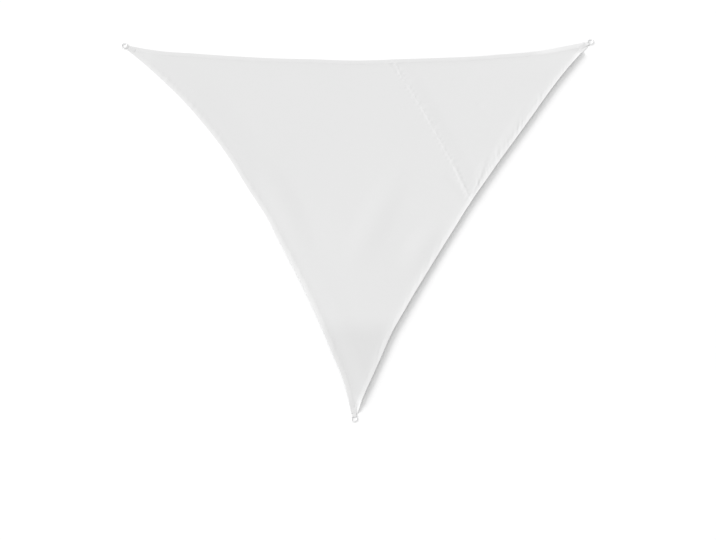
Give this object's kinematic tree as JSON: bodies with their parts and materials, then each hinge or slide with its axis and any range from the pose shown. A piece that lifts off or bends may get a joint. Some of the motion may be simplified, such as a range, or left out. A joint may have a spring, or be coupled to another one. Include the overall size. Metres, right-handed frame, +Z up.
{
  "type": "shade sail",
  "caption": "Triangular shade sail of light woven cloth with concave hemmed edges, a lapped seam across one corner and a steel ring webbed to each corner, laid out flat.",
  "frame": {"origin": "on the ground, under the middle of the sail's bounding box in plan", "axes": "+Z up from the ground, +X along the top edge from the left ring to the right ring, +Y from the foot ring towards the top edge"},
  "size_m": [3.0397, 2.6516, 0.0275],
  "materials": {
    "cloth": "plain woven polyester, matt white",
    "webbing": "woven strap, matt white",
    "steel": "smooth stainless wire"
  },
  "bodies": {
    "root": {"panel_main": "cloth", "panel_corner": "cloth", "webbing_left": "webbing", "webbing_right": "webbing", "webbing_foot": "webbing", "ring_left": "steel", "ring_right": "steel", "ring_foot": "steel"}
  },
  "joints": []
}
